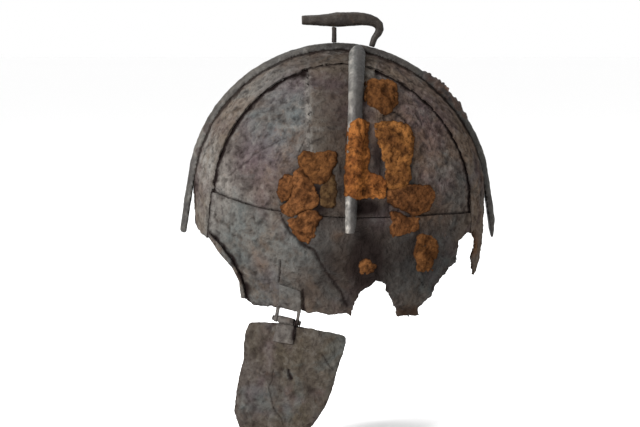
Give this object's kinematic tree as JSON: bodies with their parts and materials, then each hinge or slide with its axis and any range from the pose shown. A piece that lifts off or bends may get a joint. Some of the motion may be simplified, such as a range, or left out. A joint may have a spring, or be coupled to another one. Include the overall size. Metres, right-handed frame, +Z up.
{
  "type": "band helmet",
  "caption": "Old iron dome helmet made of crossed bands over inner plates, with half-round ridges, a beast-shaped crest and a hinged cheek guard.",
  "frame": {"origin": "centre of the head opening, on the middle plane, at the dome's widest level", "axes": "+X towards the nape and -X towards the face, -Y towards the wearer's left with the cheek guard, +Z up to the crest"},
  "size_m": [0.2539, 0.2028, 0.3354],
  "materials": {
    "band_iron": "corroded grey-brown wrought iron with pits, stains and lumps of orange-brown rust",
    "plate_iron": "corroded grey to purple-brown wrought iron with cracks, pits and lumps of orange-brown rust",
    "ridge_iron": "dark olive-grey wrought iron, rubbed a little brighter along the crown",
    "crest_iron": "dark brown wrought iron, smoother than the plates",
    "hinge_iron": "corroded dark grey-brown wrought iron"
  },
  "bodies": {
    "helmet": {"long_band": "band_iron", "side_band_left": "band_iron", "side_band_right": "band_iron", "brow_plate_left": "plate_iron", "brow_plate_right": "plate_iron", "infill_front_left": "plate_iron", "infill_front_right": "plate_iron", "infill_rear_left": "plate_iron", "infill_rear_right": "plate_iron", "face_strip_left": "band_iron", "face_strip_right": "band_iron", "long_ridge": "ridge_iron", "side_ridge_left": "ridge_iron", "side_ridge_right": "ridge_iron", "crest_beast": "crest_iron", "crest_post": "crest_iron", "hinge_leaf": "hinge_iron", "hinge_pin": "hinge_iron"},
    "cheek": {"cheek_guard": "plate_iron", "cheek_leaf": "hinge_iron"}
  },
  "joints": [
    {"name": "cheek_hinge", "type": "hinge", "parent": "helmet", "child": "cheek", "pos_m": [-0.0442, -0.07592, -0.09], "axis": [-0.9267, 0.3376, 0.165], "range_deg": [-20, 95]}
  ]
}
